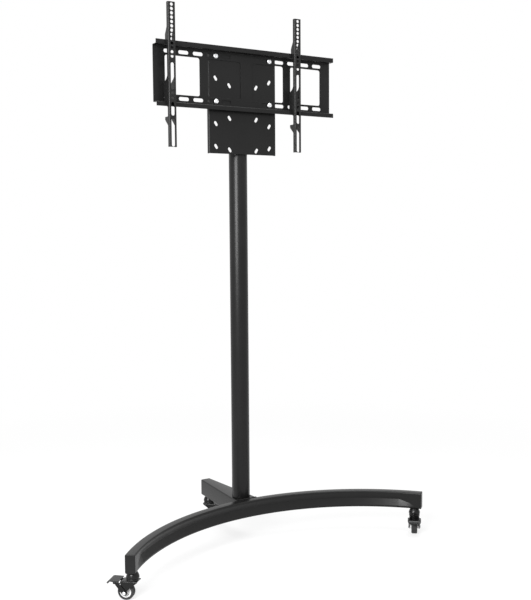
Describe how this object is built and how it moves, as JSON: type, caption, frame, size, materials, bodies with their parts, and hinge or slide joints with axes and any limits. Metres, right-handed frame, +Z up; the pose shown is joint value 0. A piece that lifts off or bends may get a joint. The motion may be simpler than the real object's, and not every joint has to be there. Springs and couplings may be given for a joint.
{
  "type": "tv stand with mount",
  "caption": "Black steel television stand on wheels: arc-shaped base tube with rear leg and braked casters, round column, slotted wall plate and hook-on arms.",
  "frame": {"origin": "middle of the whole stand's bounding box, on the floor", "axes": "+Z up along the column, -Y towards the television side, +X to the right as seen from the front"},
  "size_m": [1.137, 0.605, 1.7226],
  "materials": {
    "powder_coat": "fine textured black powder coat",
    "arm_coat": "satin black powder coat",
    "cap_plastic": "moulded black plastic",
    "zinc": "bright zinc plating",
    "pedal_steel": "pressed steel with a glossy dark plating",
    "caster_black": "black coated pressed steel",
    "wheel_plastic": "pale grey moulded nylon",
    "tyre_rubber": "black rubber"
  },
  "bodies": {
    "base": {"arc_tube": "powder_coat", "arc_end_cap_left": "cap_plastic", "arc_end_cap_right": "cap_plastic", "rear_leg": "powder_coat", "rear_leg_cap": "cap_plastic", "foot_plug": "zinc", "foot_bolt_front": "zinc", "foot_bolt_rear": "zinc", "column": "powder_coat", "mast_bushing": "cap_plastic", "mast": "powder_coat", "mast_bolt_upper": "zinc", "mast_bolt_lower": "zinc", "mast_cap": "cap_plastic", "saddle": "powder_coat", "saddle_bolt_upper": "zinc", "saddle_nut_upper": "zinc", "saddle_bolt_lower": "zinc", "saddle_nut_lower": "zinc", "head_plate": "powder_coat", "wall_plate": "powder_coat", "wall_bolt_upper_left": "zinc", "wall_nut_upper_left": "zinc", "wall_bolt_upper_right": "zinc", "wall_nut_upper_right": "zinc", "wall_bolt_lower_left": "zinc", "wall_nut_lower_left": "zinc", "wall_bolt_lower_right": "zinc", "wall_nut_lower_right": "zinc", "left_stem": "zinc", "left_tube_nut": "zinc", "left_swivel_race": "caster_black", "right_stem": "zinc", "right_tube_nut": "zinc", "right_swivel_race": "caster_black", "rear_stem": "zinc", "rear_tube_nut": "zinc", "rear_swivel_race": "caster_black"},
    "left_arm": {"left_arm": "arm_coat"},
    "right_arm": {"right_arm": "arm_coat"},
    "left_caster": {"left_fork": "caster_black", "left_axle": "zinc"},
    "left_wheel": {"left_wheel_core": "wheel_plastic", "left_tyre": "tyre_rubber"},
    "left_pedal": {"left_brake_pedal": "pedal_steel", "left_brake_lever": "caster_black"},
    "right_caster": {"right_fork": "caster_black", "right_axle": "zinc"},
    "right_wheel": {"right_wheel_core": "wheel_plastic", "right_tyre": "tyre_rubber"},
    "right_pedal": {"right_brake_pedal": "pedal_steel", "right_brake_lever": "caster_black"},
    "rear_caster": {"rear_fork": "caster_black", "rear_axle": "zinc"},
    "rear_wheel": {"rear_wheel_core": "wheel_plastic", "rear_tyre": "tyre_rubber"},
    "rear_pedal": {"rear_brake_pedal": "pedal_steel", "rear_brake_lever": "caster_black"}
  },
  "joints": [
    {"name": "left_arm_slide", "type": "slide", "parent": "base", "child": "left_arm", "axis": [1, 0, 0], "range_m": [-0.03, 0.14]},
    {"name": "right_arm_slide", "type": "slide", "parent": "base", "child": "right_arm", "axis": [1, 0, 0], "range_m": [-0.06, 0.125]},
    {"name": "left_swivel", "type": "hinge", "parent": "base", "child": "left_caster", "pos_m": [-0.50211, -0.23429, 0.06], "axis": [0, 0, 1], "continuous": true},
    {"name": "left_wheel_spin", "type": "hinge", "parent": "left_caster", "child": "left_wheel", "pos_m": [-0.516, -0.2206, 0.024], "axis": [-0.7022, -0.712, 0], "continuous": true},
    {"name": "left_pedal_press", "type": "hinge", "parent": "left_caster", "child": "left_pedal", "pos_m": [-0.516, -0.2206, 0.024], "axis": [-0.7022, -0.712, 0], "range_deg": [0, 14]},
    {"name": "right_swivel", "type": "hinge", "parent": "base", "child": "right_caster", "pos_m": [0.5408, -0.23429, 0.06], "axis": [0, 0, 1], "continuous": true},
    {"name": "right_wheel_spin", "type": "hinge", "parent": "right_caster", "child": "right_wheel", "pos_m": [0.52793, -0.24894, 0.024], "axis": [0.7513, -0.66, 0], "continuous": true},
    {"name": "right_pedal_press", "type": "hinge", "parent": "right_caster", "child": "right_pedal", "pos_m": [0.52793, -0.24894, 0.024], "axis": [0.7513, -0.66, 0], "range_deg": [0, 14]},
    {"name": "rear_swivel", "type": "hinge", "parent": "base", "child": "rear_caster", "pos_m": [0.01934, 0.27722, 0.06], "axis": [0, 0, 1], "continuous": true},
    {"name": "rear_wheel_spin", "type": "hinge", "parent": "rear_caster", "child": "rear_wheel", "pos_m": [0.03313, 0.26343, 0.024], "axis": [0.7071, 0.7071, 0], "continuous": true},
    {"name": "rear_pedal_press", "type": "hinge", "parent": "rear_caster", "child": "rear_pedal", "pos_m": [0.03313, 0.26343, 0.024], "axis": [0.7071, 0.7071, 0], "range_deg": [0, 14]}
  ]
}
